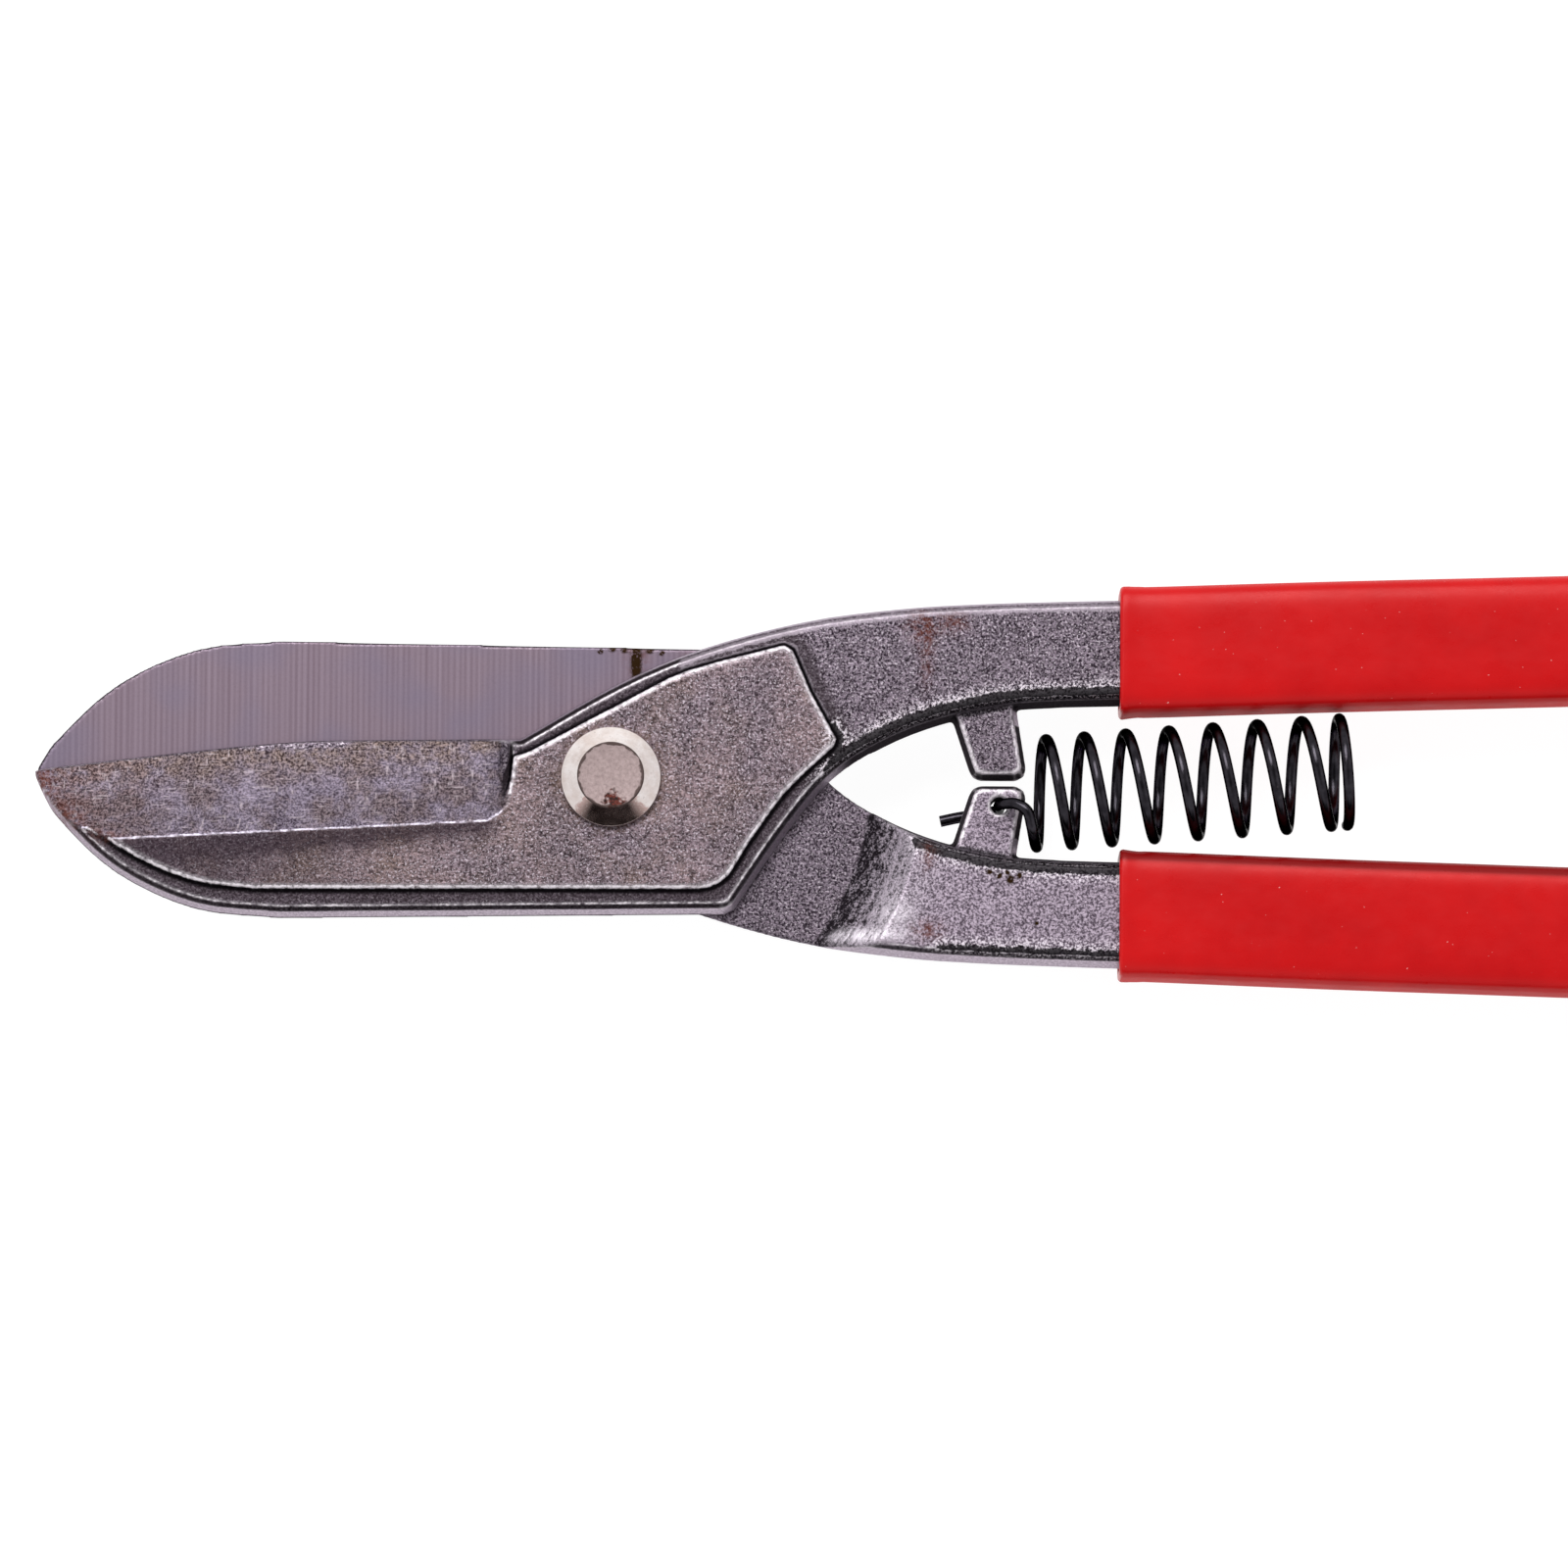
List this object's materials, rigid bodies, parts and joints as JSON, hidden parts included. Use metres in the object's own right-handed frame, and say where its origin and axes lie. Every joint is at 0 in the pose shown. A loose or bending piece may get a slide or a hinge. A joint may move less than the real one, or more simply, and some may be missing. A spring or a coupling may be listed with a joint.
{
  "type": "tin snips",
  "caption": "Hand snips for sheet metal: two forged blades with handles on one pivot bolt, hollow-ground edges, stop lugs, vinyl sleeves and a hooked coil return spring.",
  "frame": {"origin": "centre of the pivot bolt's staked end, on the pivot axis: the lowest flat face when the tool lies on its nut side", "axes": "+X along the tool from the blades to the handles, +Z along the pivot axis from the nut to the bolt's head, +Y towards the upper handle"},
  "size_m": [0.25, 0.0592, 0.0197],
  "materials": {
    "forged_steel": "forged, blasted and oiled dark steel, ground bright brown-grey along the edges",
    "plated_steel": "warm plated steel, turned cone, staked end",
    "red_vinyl": "glossy dipped vinyl",
    "black_wire": "glossy black spring wire"
  },
  "bodies": {
    "rear": {"rear_lever": "forged_steel", "lower_grip": "red_vinyl", "pivot_bolt": "plated_steel", "pivot_washer": "plated_steel", "pivot_nut": "plated_steel"},
    "front": {"front_lever": "forged_steel", "upper_grip": "red_vinyl"},
    "spring": {"return_spring": "black_wire"}
  },
  "joints": [
    {"name": "blade_pivot", "type": "hinge", "parent": "rear", "child": "front", "pos_m": [0, 0, 0.0119], "axis": [0, 0, 1], "range_deg": [-0.5, 35]},
    {"name": "spring_swivel", "type": "hinge", "parent": "rear", "child": "spring", "pos_m": [0.0514, -0.0032, 0.0119], "axis": [0, 0, 1], "range_deg": [-1.1, 70.5]}
  ],
  "couplings": [
    {"joint": "spring_swivel", "follows": "blade_pivot", "ratio": 2}
  ]
}
